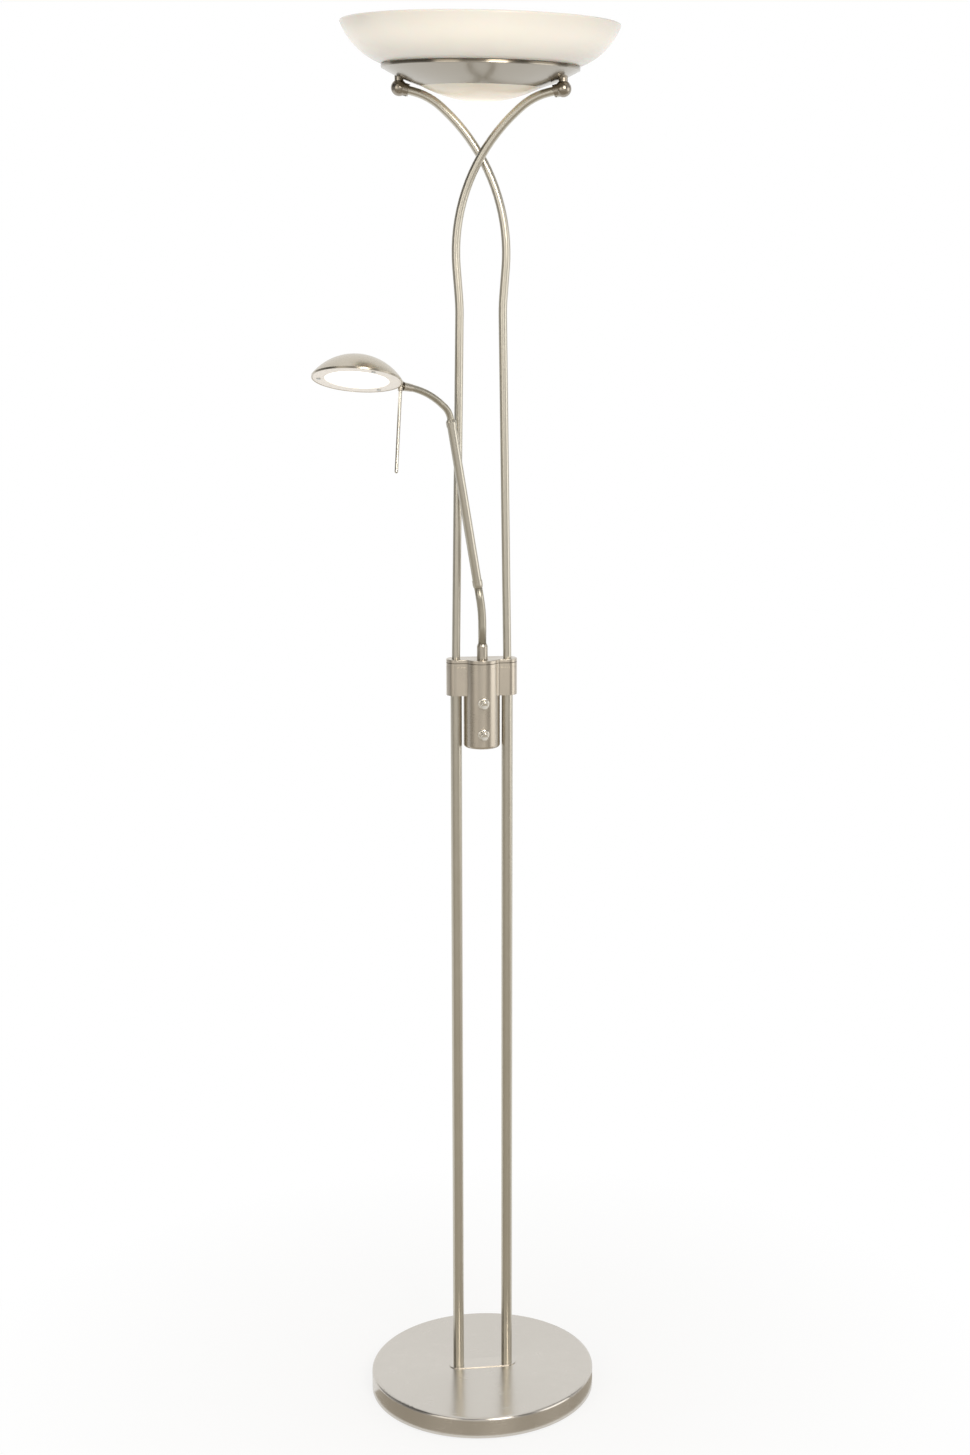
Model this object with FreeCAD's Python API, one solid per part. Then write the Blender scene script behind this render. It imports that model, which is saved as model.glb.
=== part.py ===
# Torchiere floor lamp with a reading light. Two parallel poles rise from a round weighted base to a
# control block with two dimmer knobs. Above it the tubes cross and carry a glass uplight bowl, and a
# flexible arm carries a small domed reading head with a rod handle. Millimetres, +Z up, front at -Y,
# origin on the floor under the middle of the base.
import FreeCAD, Part
import math
import os

V = FreeCAD.Vector
UP = V(0, 0, 1)
FRONT = V(0, -1, 0)
SIDES = (-1, 1)

# ---- Driving dimensions ----
# Base
base_radius = 151.0
base_height = 30.0
base_edge_radius = 4.5
base_cover_wall = 1.2
skirt_lift = 1.8
pad_thickness = 2.0
pad_inset = 7.0
weight_thickness = 14.0
weight_boss_radius = 16.0
cord_hole_radius = 4.6
cord_channel_width = 9.0
cord_channel_depth = 11.0
grommet_flange_radius = 6.6
grommet_flange = 1.4
grommet_bore_radius = 3.3

# Poles and their fixings
pole_spacing = 66.0
pole_radius = 7.3
pole_wall = 1.2
pole_visible_length = 939.0
plate_thickness = 1.0
plate_end_radius = 12.5
insert_length = 20.0
foot_nipple_radius = 5.0
foot_nut_flats = 16.0
foot_nut_height = 5.0
foot_washer_radius = 10.0
foot_washer_thickness = 1.5
nut_recess_radius = 11.5
nut_recess_depth = 11.0

# Control block
ear_radius = 12.6
ear_height = 42.4
lid_thickness = 4.6
lobe_radius = 23.5
lobe_rear = 11.0
lobe_drop = 69.0
block_wall = 2.2
block_blend_radius = 5.0
block_edge_radius = 0.8
block_foot_round = 3.5
seam_height = 0.6
seam_depth = 0.5
seam_below_lid = 5.0
pole_socket_depth = 30.0
socket_web = 4.0
coupling_radius = 3.0
coupling_bore_radius = 1.8
coupling_reach = 14.0
coupling_insert_length = 12.0

# Dimmers and knobs
lower_knob_rise = 20.0
knob_spacing = 40.6
knob_radius = 5.1
knob_length = 13.0
knob_dome = 0.9
bezel_radius = 7.4
bezel_thickness = 2.6
bezel_flat_depth = 1.0
dimmer_radius = 8.0
dimmer_depth = 9.0
bush_radius = 3.5
shaft_radius = 2.6
shaft_in_knob = 11.0

# Driver board
board_width = 30.0
board_height = 50.0
board_thickness = 1.6
board_rise = 6.0
board_stand = 2.4
board_hole_inset = 4.0
board_screw_radius = 1.4
screw_head_radius = 2.6
screw_head_height = 1.8
transformer_size = 13.0
transformer_depth = 9.0
capacitor_radius = 4.0
capacitor_length = 11.0

# Crossing tubes: bends measured down from the ball, reaches from the tube's own pole to its ball
tube_radius = 5.35
tube_wall = 1.0
waist_drop = 261.0
waist_reach = 6.1
flare_drop = 101.5
flare_reach = -6.4
shoulder_drop = 9.2
shoulder_reach = 96.0
ball_height = 706.0
ball_x = 97.5
ball_y = 27.0
root_bend_radius = 500.0
waist_bend_radius = 250.0
flare_bend_radius = 230.0
shoulder_bend_radius = 80.0

# Ball fittings
ball_radius = 10.0
ball_socket_radius = 7.6
ball_socket_reach = 12.0
ball_groove_depth = 0.5
ball_groove_width = 0.8
tube_in_ball = 7.0
ball_screw_radius = 2.0
neck_radius = 5.5
neck_length = 12.2
stud_radius = 3.0
stud_nut_flats = 10.0
stud_nut_height = 4.0
wedge_radius = 6.0

# Cradle ring
ring_mouth_radius = 73.0
ring_middle_radius = 98.0
ring_middle_rise = 9.3
ring_shoulder_radius = 120.3
ring_shoulder_rise = 20.4
ring_lip_height = 3.6
ring_lip_out = 0.8
ring_wall = 1.5

# Lower dish
dish_depth = 17.4
dish_wall = 3.0
dish_flange_width = 6.5
gasket_thickness = 1.5

# Light unit inside the ring
carrier_thickness = 2.0
carrier_seat_radius = 111.5
carrier_post_radius = 4.0
carrier_post_circle = 88.0
carrier_foot_circle = 75.0
up_board_inner = 25.0
up_board_outer = 80.0
down_board_inner = 20.0
down_board_outer = 60.0
led_board_thickness = 1.6
led_size = 3.0
led_height = 0.8
up_led_count = 16
down_led_count = 8
diffuser_radius = 110.0
diffuser_thickness = 2.5
diffuser_lift = 8.0

# Uplight bowl
bowl_rim_radius = 170.4
bowl_curve_radius = 84.0
bowl_curve_centre = 92.5
bowl_mouth_radius = 113.5
bowl_wall = 5.0

# Reading arm: angles from the vertical, runs along the arm's centre line
arm_seat_y = -8.0
arm_turn = 20.0
arm_lean = 10.0
curl_angle = 49.0
end_angle = 79.0
collar_radius = 6.9
collar_height = 17.0
collar_taper = 3.0
gooseneck_in_collar = 11.0
lower_gooseneck_radius = 5.2
lower_bend_height = 61.0
lower_bend_radius = 200.0
lower_gooseneck_run = 36.0
arm_tube_radius = 5.8
arm_tube_wall = 0.9
arm_tube_length = 210.3
curl_root_run = 13.3
curl_middle_run = 39.3
curl_last_run = 33.0
curl_root_radius = 27.0
curl_last_radius = 90.0
upper_gooseneck_radius = 4.3
gooseneck_bore_radius = 2.4
ferrule_wall = 0.6
ferrule_cover = 6.0
ferrule_taper = 3.0
end_ferrule_length = 12.0
end_ferrule_radius = 5.5
end_ferrule_tip = 3.0
swivel_radius = 5.0
swivel_bore_radius = 3.0
swivel_nut_flats = 15.0
swivel_nut_height = 4.0
swivel_in_collar = 5.0

# Reading head
head_radius = 55.0
head_height = 31.0
head_lip = 2.5
head_wall = 1.0
head_roll = 15.7
head_below_arm = 3.5
knuckle_radius = 3.2
knuckle_height = 13.0
pivot_radius = 1.8
pivot_length = 4.4
boss_radius = 2.5
boss_length = 13.0
boss_rise = 1.5
lug_side = 3.9
lug_reach = 1.8
lens_opening_radius = 39.0
lens_overlap = 1.6
lens_thickness = 2.0
bezel_recess = 0.4
bezel_sheet = 1.2
head_screw_circle = 46.5
head_screw_count = 3
head_post_radius = 3.0
heatsink_lift = 7.2
heatsink_thickness = 2.8
head_board_radius = 41.0
head_led_count = 12
head_led_circle = 26.0
rod_radius = 2.2
rod_length = 103.0
rod_thread_radius = 1.5
rod_thread_length = 3.0

# Clearances
press_gap = 0.1
shaft_gap = 0.1
slip_gap = 0.3
rest_gap = 0.3

# ---- Levels and places worked out from them ----
half_spacing = pole_spacing / 2
plate_top = base_height + plate_thickness
ear_bottom = plate_top + pole_visible_length
lid_bottom = ear_bottom + ear_height
lid_top = lid_bottom + lid_thickness
lobe_bottom = ear_bottom - lobe_drop
pole_top = ear_bottom + pole_socket_depth
tube_seat = pole_top + socket_web
knob_levels = {
    "lower": lobe_bottom + lower_knob_rise,
    "upper": lobe_bottom + lower_knob_rise + knob_spacing,
}
ball_reach = math.hypot(ball_x, ball_y)
ball_level = lid_top + ball_height


def circle_through(first, second, third):
    """Centre and radius of the circle through three (r, z) points."""
    (ax, ay), (bx, by), (cx, cy) = first, second, third
    twice_area = 2 * (ax * (by - cy) + bx * (cy - ay) + cx * (ay - by))
    a, b, c = ax * ax + ay * ay, bx * bx + by * by, cx * cx + cy * cy
    x = (a * (by - cy) + b * (cy - ay) + c * (ay - by)) / twice_area
    y = (a * (cx - bx) + b * (ax - cx) + c * (bx - ax)) / twice_area
    return (x, y), math.hypot(ax - x, ay - y)


def below(circle, r):
    """Height of the circle's lower side at distance r from the lamp's axis."""
    (x, y), radius = circle
    return y - math.sqrt(radius**2 - (r - x) ** 2)


# The ring's outer curve is set so that its skin lies neck_length above the middle of the balls.
ring_curve = circle_through(
    (ring_mouth_radius, 0),
    (ring_middle_radius, ring_middle_rise),
    (ring_shoulder_radius, ring_shoulder_rise),
)
ring_bottom = ball_level + neck_length - below(ring_curve, ball_reach)
ring_outside = ((ring_curve[0][0], ring_curve[0][1] + ring_bottom), ring_curve[1])
ring_inside = (ring_outside[0], ring_outside[1] - ring_wall)
ring_lip_radius = ring_shoulder_radius + ring_lip_out
ring_top = ring_bottom + ring_shoulder_rise + ring_lip_out + ring_lip_height
carrier_bottom = below(ring_inside, carrier_seat_radius) + rest_gap
carrier_top = carrier_bottom + carrier_thickness
dish_flange_radius = ring_mouth_radius + dish_flange_width
dish_flange_bottom = below(ring_inside, dish_flange_radius) + rest_gap
dish_flange_top = dish_flange_bottom + dish_wall
bowl_seat_drop = math.sqrt(
    bowl_curve_radius**2 - (ring_lip_radius - ring_wall - bowl_curve_centre) ** 2
)
bowl_centre_level = ring_top + rest_gap + bowl_seat_drop


# ---- Shape helpers ----
def cylinder(radius, height, base=V(0, 0, 0), axis=UP):
    return Part.makeCylinder(radius, height, base, axis)


def ring(outer, inner, height, base=V(0, 0, 0), axis=UP):
    return cylinder(outer, height, base, axis).cut(cylinder(inner, height, base, axis))


def box(x0, x1, y0, y1, z0, z1):
    return Part.makeBox(x1 - x0, y1 - y0, z1 - z0, V(x0, y0, z0))


def hexagon(flats, height, base):
    corners = [
        base + V(math.cos(a), math.sin(a), 0) * (flats / math.sqrt(3))
        for a in (math.radians(60 * k) for k in range(7))
    ]
    return Part.Face(Part.makePolygon(corners)).extrude(UP * height)


def outline(steps):
    """Closed wire in the XZ plane. (x, z) runs straight there; ((x, z), (x, z)) is an arc through
    the first point to the second."""
    edges = []
    here = V(steps[0][0], 0, steps[0][1])
    for step in steps[1:] + steps[:1]:
        if isinstance(step[0], tuple):
            via = V(step[0][0], 0, step[0][1])
            there = V(step[1][0], 0, step[1][1])
            edges.append(Part.Arc(here, via, there).toShape())
        else:
            there = V(step[0], 0, step[1])
            edges.append(Part.LineSegment(here, there).toShape())
        here = there
    return Part.Wire(edges)


def spun(steps, middle=V(0, 0, 0)):
    """Solid turned from a closed outline about the vertical through middle."""
    solid = Part.Face(outline(steps)).revolve(V(0, 0, 0), UP, 360)
    solid.translate(middle)
    return solid


def rounded_path(points, radii):
    """Straight runs joined by tangent arcs; radii[k] rounds the corner at points[k + 1]."""
    edges = []
    here = points[0]
    for corner, ahead, radius in zip(points[1:-1], points[2:], radii):
        back = (here - corner).normalize()
        forth = (ahead - corner).normalize()
        half_turn = (math.pi - back.getAngle(forth)) / 2
        reach = radius * math.tan(half_turn)
        inward = (back + forth).normalize() * radius * (1 / math.cos(half_turn) - 1)
        edges.append(Part.LineSegment(here, corner + back * reach).toShape())
        edges.append(
            Part.Arc(corner + back * reach, corner + inward, corner + forth * reach).toShape()
        )
        here = corner + forth * reach
    edges.append(Part.LineSegment(here, points[-1]).toShape())
    return Part.Wire(edges)


def pipe(path, outer, inner):
    """Round tube of the two radii along the path."""
    start = path.Edges[0].valueAt(path.Edges[0].FirstParameter)
    heading = path.Edges[0].tangentAt(path.Edges[0].FirstParameter)
    rims = [Part.Wire(Part.Circle(start, heading, radius).toShape()) for radius in (outer, inner)]
    solids = [path.makePipe(Part.Face(rim)) for rim in rims]
    return solids[0].cut(solids[1])


def stadium(reach, radius, z0, z1):
    """Prism round both poles: two half rounds of the radius joined by flat sides."""
    solid = box(-reach, reach, -radius, radius, z0, z1)
    for side in SIDES:
        solid = solid.fuse(cylinder(radius, z1 - z0, V(side * reach, 0, z0)))
    return solid.removeSplitter()


def pair(shape_at):
    """The same piece at both poles, as one group."""
    return Part.makeCompound([shape_at(side * half_spacing) for side in SIDES])


# ---- Base ----
def base_pad():
    return cylinder(base_radius - pad_inset, pad_thickness)


def base_weight():
    radius = base_radius - base_cover_wall - slip_gap
    weight = cylinder(radius, weight_thickness, V(0, 0, pad_thickness))
    boss_height = base_height - base_cover_wall - pad_thickness
    for side in SIDES:
        foot = V(side * half_spacing, 0, pad_thickness)
        weight = weight.fuse(cylinder(weight_boss_radius, boss_height, foot))
    for side in SIDES:
        foot = V(side * half_spacing, 0, pad_thickness)
        weight = weight.cut(cylinder(nut_recess_radius, nut_recess_depth, foot))
        weight = weight.cut(cylinder(foot_nipple_radius + slip_gap, base_height, foot))
    half = cord_channel_width / 2
    top = pad_thickness + cord_channel_depth
    weight = weight.cut(box(-half, half, 0, base_radius, pad_thickness, top))
    return weight.cut(box(-half_spacing, half, -half, half, pad_thickness, top))


def cord_hole_level():
    return pad_thickness + cord_channel_depth / 2 + skirt_lift / 2


def base_cover():
    outer = base_radius
    inner = base_radius - base_cover_wall
    bend = base_edge_radius
    inner_bend = bend - base_cover_wall
    under = base_height - base_cover_wall
    diagonal = math.sqrt(0.5)
    centre = (outer - bend, base_height - bend)
    cover = spun(
        [
            (outer, skirt_lift),
            (outer, base_height - bend),
            (
                (centre[0] + bend * diagonal, centre[1] + bend * diagonal),
                (centre[0], base_height),
            ),
            (0, base_height),
            (0, under),
            (centre[0], under),
            (
                (centre[0] + inner_bend * diagonal, centre[1] + inner_bend * diagonal),
                (inner, centre[1]),
            ),
            (inner, skirt_lift),
        ]
    )
    for side in SIDES:
        foot = V(side * half_spacing, 0, under)
        cover = cover.cut(cylinder(foot_nipple_radius + slip_gap, base_cover_wall, foot))
    exit_hole = cylinder(cord_hole_radius, base_radius, V(0, 0, cord_hole_level()), V(0, 1, 0))
    return cover.cut(exit_hole)


def cord_grommet():
    """Soft bush in the back of the cover, flanged on both sides of the sheet."""
    sleeve_radius = cord_hole_radius - press_gap
    inner_face = base_radius - base_cover_wall - slip_gap
    at = V(0, inner_face, cord_hole_level())
    back = V(0, 1, 0)
    length = base_radius + grommet_flange - inner_face
    bush = cylinder(sleeve_radius, length, at, back)
    bush = bush.fuse(
        cylinder(grommet_flange_radius, grommet_flange, V(0, base_radius, at.z), back)
    )
    return bush.cut(cylinder(grommet_bore_radius, length, at, back))


def pole_plate():
    plate = stadium(half_spacing, plate_end_radius, base_height, plate_top)
    for side in SIDES:
        foot = V(side * half_spacing, 0, base_height)
        plate = plate.cut(cylinder(foot_nipple_radius + slip_gap, plate_thickness, foot))
    return plate


def foot_nipple_bottom():
    return pad_thickness + nut_recess_depth - foot_washer_thickness - foot_nut_height - 1


def foot_nipple_bore():
    return foot_nipple_radius - 1.5


def foot_insert(x):
    outer = pole_radius - pole_wall - press_gap
    return ring(outer, foot_nipple_radius + press_gap, insert_length, V(x, 0, plate_top))


def foot_nipple(x):
    bottom = foot_nipple_bottom()
    length = plate_top + insert_length - 2 - bottom
    return ring(foot_nipple_radius, foot_nipple_bore(), length, V(x, 0, bottom))


def foot_washer(x):
    bottom = pad_thickness + nut_recess_depth - foot_washer_thickness
    hole = foot_nipple_radius + slip_gap
    return ring(foot_washer_radius, hole, foot_washer_thickness, V(x, 0, bottom))


def foot_nut(x):
    bottom = pad_thickness + nut_recess_depth - foot_washer_thickness - foot_nut_height
    at = V(x, 0, bottom)
    nut = hexagon(foot_nut_flats, foot_nut_height, at)
    return nut.cut(cylinder(foot_nipple_radius + press_gap, foot_nut_height, at))


# ---- Poles ----
def lower_pole(side):
    at = V(side * half_spacing, 0, plate_top)
    return ring(pole_radius, pole_radius - pole_wall, pole_top - plate_top, at)


def pole_top_insert(x):
    outer = pole_radius - pole_wall - press_gap
    at = V(x, 0, pole_top - coupling_insert_length)
    return ring(outer, coupling_radius + press_gap, coupling_insert_length, at)


def coupling_nipple(x):
    """Hollow threaded rod that draws the pole and the upper tube together through the block."""
    length = socket_web + 2 * coupling_reach
    at = V(x, 0, pole_top - coupling_reach)
    return ring(coupling_radius, coupling_bore_radius, length, at)


def tube_end_insert(x):
    outer = tube_radius - tube_wall - press_gap
    hole = coupling_radius + press_gap
    return ring(outer, hole, coupling_insert_length, V(x, 0, tube_seat))


# ---- Control block ----
def lobe(inset, z0, z1):
    """The round middle of the block, cut flat at the back."""
    rear = box(-lobe_radius, lobe_radius, lobe_rear - inset, lobe_radius, z0, z1)
    return cylinder(lobe_radius - inset, z1 - z0, V(0, 0, z0)).cut(rear)


def block_prism(inset, z0, z1):
    """Both ears and the lobe in plan, with the hollow corners between them blended in front."""
    prism = stadium(half_spacing, ear_radius - inset, z0, z1).fuse(lobe(inset, z0, z1))
    prism = prism.removeSplitter()
    blends = [
        edge
        for edge in prism.Edges
        if edge.BoundBox.ZLength > (z1 - z0) * 0.9
        and edge.BoundBox.XLength < 0.01
        and abs(edge.BoundBox.YMin + ear_radius - inset) < 0.01
        and abs(edge.BoundBox.XMin) < half_spacing - 1
    ]
    return prism.makeFillet(block_blend_radius + inset, blends)


def level_edges(shape, z):
    """The outer edges that lie at one level."""
    return [e for e in shape.Edges if abs(e.BoundBox.ZMin - z) + abs(e.BoundBox.ZMax - z) < 0.01]


def bezel_seat_y():
    return -(lobe_radius - bezel_flat_depth)


def dimmer_front_y():
    return -(lobe_radius - block_wall - bezel_flat_depth - 1)


def centre_body():
    upper = block_prism(0, ear_bottom, lid_bottom)
    lower = lobe(0, lobe_bottom, ear_bottom)
    lower = lower.makeFillet(block_foot_round, level_edges(lower, lobe_bottom))
    body = upper.fuse(lower)
    floor = lobe_bottom + block_wall
    hollow = block_prism(block_wall, ear_bottom + block_wall, lid_bottom)
    hollow = hollow.fuse(lobe(block_wall, floor, lid_bottom))
    for side in SIDES:
        boss = cylinder(ear_radius, ear_height, V(side * half_spacing, 0, ear_bottom))
        hollow = hollow.cut(boss)
    body = body.cut(hollow)
    for side in SIDES:
        foot = V(side * half_spacing, 0, ear_bottom)
        seat = V(side * half_spacing, 0, tube_seat)
        body = body.cut(cylinder(pole_radius + press_gap, pole_socket_depth, foot))
        body = body.cut(cylinder(coupling_radius + slip_gap, ear_height, foot))
        body = body.cut(cylinder(tube_radius + press_gap, lid_bottom - tube_seat, seat))
    pads = []
    holes = []
    for level in knob_levels.values():
        inside = V(0, dimmer_front_y(), level)
        pads.append(cylinder(dimmer_radius, lobe_radius + inside.y, inside, FRONT))
        holes.append(cylinder(bush_radius + press_gap, lobe_radius, inside, FRONT))
        face = V(0, bezel_seat_y(), level)
        holes.append(cylinder(bezel_radius + slip_gap, lobe_radius, face, FRONT))
    skin = lobe(block_edge_radius, lobe_bottom, lid_bottom)
    for pad in pads:
        body = body.fuse(pad.common(skin))
    for x, z in board_holes():
        post = cylinder(board_screw_radius * 2, board_stand, V(x, board_back_y(), z), V(0, 1, 0))
        body = body.fuse(post)
        holes.append(cylinder(board_screw_radius + press_gap, board_stand, V(x, board_back_y(), z),
                              V(0, 1, 0)))
    for hole in holes:
        body = body.cut(hole)
    seam_top = lid_bottom - seam_below_lid
    seam_bottom = seam_top - seam_height
    seam = block_prism(0, seam_bottom, seam_top).cut(block_prism(seam_depth, seam_bottom, seam_top))
    return body.cut(seam).removeSplitter()


def centre_lid():
    lid = block_prism(0, lid_bottom, lid_top)
    lid = lid.makeFillet(block_edge_radius, level_edges(lid, lid_top))
    for side in SIDES:
        at = V(side * half_spacing, 0, lid_bottom)
        lid = lid.cut(cylinder(tube_radius + press_gap, lid_thickness, at))
    swivel = V(0, arm_seat_y, lid_bottom)
    return lid.cut(cylinder(swivel_radius + shaft_gap, lid_thickness, swivel))


def dimmer(level):
    """Rotary dimmer: a round case behind the front wall and a threaded bush through it."""
    at = V(0, dimmer_front_y(), level)
    case = cylinder(dimmer_radius, dimmer_depth, at, V(0, 1, 0))
    bush = cylinder(bush_radius, bush_length(), at, FRONT)
    tail = V(0, at.y + dimmer_depth / 2, level)
    bore = cylinder(shaft_radius + shaft_gap, dimmer_depth / 2 + bush_length(), tail, FRONT)
    pins = [
        box(x - 0.6, x + 0.6, at.y + dimmer_depth, at.y + dimmer_depth + 3, level - 6, level - 5)
        for x in (-3, 0, 3)
    ]
    return case.fuse([bush] + pins).cut(bore)


def bush_length():
    return dimmer_front_y() - bezel_seat_y() + bezel_thickness - 0.4


def bezel(level):
    """Round nut that holds the dimmer, with a rounded front edge."""
    at = V(0, bezel_seat_y(), level)
    nut = cylinder(bezel_radius, bezel_thickness, at, FRONT)
    front = [e for e in nut.Edges if abs(e.BoundBox.YMin - at.y + bezel_thickness) < 0.01
             and e.BoundBox.YLength < 0.01]
    nut = nut.makeFillet(bezel_thickness / 2, front)
    return nut.cut(cylinder(bush_radius + press_gap, bezel_thickness, at, FRONT))


def knob_back_y():
    return bezel_seat_y() - bezel_thickness - rest_gap


def dimmer_shaft(level):
    tail = V(0, dimmer_front_y() + dimmer_depth / 2 - rest_gap, level)
    length = tail.y - knob_back_y() + shaft_in_knob
    return cylinder(shaft_radius, length, tail, FRONT)


def knob(level):
    """Knob turned along Y: a straight barrel, a rounded end and a blind bore for the shaft."""
    r = knob_radius
    straight = knob_length - knob_dome
    barrel = spun(
        [
            (0, 0),
            (r, 0),
            (r, straight),
            ((r - knob_dome * 0.3, straight + knob_dome * 0.7), (r - knob_dome, knob_length)),
            (0, knob_length),
        ]
    )
    barrel = barrel.cut(cylinder(shaft_radius + press_gap, shaft_in_knob + press_gap))
    turn = FreeCAD.Rotation(V(1, 0, 0), 90)
    barrel.Placement = FreeCAD.Placement(V(0, knob_back_y(), level), turn)
    return barrel


def board_back_y():
    return lobe_rear - block_wall - board_stand


def board_holes():
    bottom = lobe_bottom + block_wall + board_rise
    return [
        (side * (board_width / 2 - board_hole_inset), z)
        for side in SIDES
        for z in (bottom + board_hole_inset, bottom + board_height - board_hole_inset)
    ]


def driver_board():
    """Circuit board with its transformer and capacitor, screwed to posts at the back."""
    back = board_back_y()
    face = back - board_thickness
    bottom = lobe_bottom + block_wall + board_rise
    board = box(-board_width / 2, board_width / 2, face, back, bottom, bottom + board_height)
    for x, z in board_holes():
        hole = cylinder(board_screw_radius + press_gap, board_thickness, V(x, face, z), V(0, 1, 0))
        board = board.cut(hole)
    half = transformer_size / 2
    middle = bottom + board_height / 2
    core = box(-half, half, face - transformer_depth, face, middle, middle + transformer_size)
    can_at = V(-capacitor_length / 2, face - capacitor_radius * 0.9, middle - capacitor_radius)
    can = cylinder(capacitor_radius, capacitor_length, can_at, V(1, 0, 0))
    return board.fuse([core, can])


def board_screws():
    face = board_back_y() - board_thickness
    screws = []
    for x, z in board_holes():
        head = cylinder(screw_head_radius, screw_head_height, V(x, face, z), FRONT)
        shank = cylinder(board_screw_radius, board_thickness + board_stand, V(x, face, z),
                         V(0, 1, 0))
        screws.append(head.fuse(shank))
    return Part.makeCompound(screws)


# ---- Crossing tubes ----
def ball_at(side):
    """Middle of the ball that the tube from this side's pole ends in."""
    return V(-side * ball_x, side * ball_y, ball_level)


def tube_points(side):
    """The bends of one upper tube. It lies in the upright plane through its pole and its ball."""
    root = V(side * half_spacing, 0, 0)
    ball = ball_at(side)
    outward = V(ball.x - root.x, ball.y, 0)
    full_reach = outward.Length
    outward.normalize()
    stops = [
        (0, tube_seat - lid_top),
        (0, 0),
        (waist_reach, ball_height - waist_drop),
        (flare_reach, ball_height - flare_drop),
        (shoulder_reach, ball_height - shoulder_drop),
        (full_reach, ball_height),
    ]
    return [root + outward * reach + V(0, 0, lid_top + height) for reach, height in stops]


def upper_tube(side):
    points = tube_points(side)
    heading = (points[-1] - points[-2]).normalize()
    points[-1] = points[-1] - heading * (ball_socket_reach - tube_in_ball)
    radii = (root_bend_radius, waist_bend_radius, flare_bend_radius, shoulder_bend_radius)
    return pipe(rounded_path(points, radii), tube_radius, tube_radius - tube_wall)


def ball_heading(side):
    """From the ball's middle back along the tube that enters it."""
    points = tube_points(side)
    return (points[-2] - points[-1]).normalize()


def tube_ball(side):
    """Ball fitting: a turned ball with a socket for the tube and a threaded hole up to the stud."""
    middle = ball_at(side)
    inward = ball_heading(side)
    ball = Part.makeSphere(ball_radius, middle)
    ball = ball.fuse(cylinder(ball_socket_radius, ball_socket_reach, middle, inward))
    groove_at = middle + inward * (ball_socket_reach - 3 * ball_groove_width)
    groove = ring(ball_socket_radius + 1, ball_socket_radius - ball_groove_depth,
                  ball_groove_width, groove_at, inward)
    depth = tube_in_ball + press_gap
    mouth = middle + inward * (ball_socket_reach - depth)
    ball = ball.cut(groove).cut(cylinder(tube_radius + press_gap, depth, mouth, inward))
    ball = ball.cut(cylinder(stud_radius + press_gap, ball_radius, middle))
    return ball.cut(socket_screw_hole(side, ball_screw_radius + press_gap))


def socket_screw_hole(side, radius):
    """Straight up into the socket from below, where the grub screw pinches the tube."""
    inward = ball_heading(side)
    across = UP.cross(inward).normalize()
    down = across.cross(inward).normalize()
    at = ball_at(side) + inward * (ball_socket_reach - tube_in_ball / 2)
    start = tube_radius + press_gap
    return cylinder(radius, ball_socket_radius + 0.4 - start, at + down * start, down)


def socket_screws():
    return Part.makeCompound([socket_screw_hole(side, ball_screw_radius) for side in SIDES])


# ---- Cradle ring and what it clamps ----
def ring_skin(circle, top):
    """Everything that lies above one curve of the ring, up to the level top."""
    low = ring_mouth_radius
    high = ring_shoulder_radius
    return spun(
        [
            (0, top),
            (0, below(circle, low)),
            (low, below(circle, low)),
            ((ring_middle_radius, below(circle, ring_middle_radius)), (high, below(circle, high))),
            (high, top),
        ]
    )


def cradle_ring():
    """Spun pan without a bottom: a shallow curve that ends in an upright lip round the glass."""
    high = ring_shoulder_radius
    lip = ring_lip_radius
    lip_foot = below(ring_outside, high) + ring_lip_out
    inner_lip = lip - ring_wall
    mid = ring_middle_radius
    low = ring_mouth_radius
    corner = (high + ring_lip_out * math.sqrt(0.5), lip_foot - ring_lip_out * math.sqrt(0.5))
    pan = spun(
        [
            (low, below(ring_outside, low)),
            ((mid, below(ring_outside, mid)), (high, below(ring_outside, high))),
            (corner, (lip, lip_foot)),
            (lip, ring_top - ring_wall / 2),
            ((lip - ring_wall / 2, ring_top), (inner_lip, ring_top - ring_wall / 2)),
            (inner_lip, below(ring_inside, inner_lip)),
            ((mid, below(ring_inside, mid)), (low, below(ring_inside, low))),
        ]
    )
    for side in SIDES:
        at = ball_at(side)
        pan = pan.cut(cylinder(stud_radius + press_gap, neck_length + ring_lip_radius, at))
    return pan


def stud_top():
    return carrier_top + stud_nut_height + 1


def ball_stud(side):
    at = ball_at(side)
    return cylinder(stud_radius, stud_top() - at.z, at)


def neck_sleeve(side):
    """Short sleeve on the stud, cut to the slope of the ring's underside."""
    at = ball_at(side) + UP * ball_radius * 0.85
    sleeve = ring(neck_radius, stud_radius + press_gap, neck_length, at)
    sleeve = sleeve.cut(ring_skin(ring_outside, ring_top))
    return sleeve.cut(Part.makeSphere(ball_radius, ball_at(side)))


def wedge_spacer(side):
    """Spacer between the sloping ring and the level carrier."""
    at = ball_at(side)
    spacer = ring(wedge_radius, stud_radius + press_gap, carrier_bottom - at.z, at)
    return spacer.common(ring_skin(ring_inside, carrier_bottom))


def stud_nut(side):
    at = V(ball_at(side).x, ball_at(side).y, carrier_top)
    nut = hexagon(stud_nut_flats, stud_nut_height, at)
    return nut.cut(cylinder(stud_radius + press_gap, stud_nut_height, at))


def both_balls(piece):
    return Part.makeCompound([piece(side) for side in SIDES])


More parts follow.
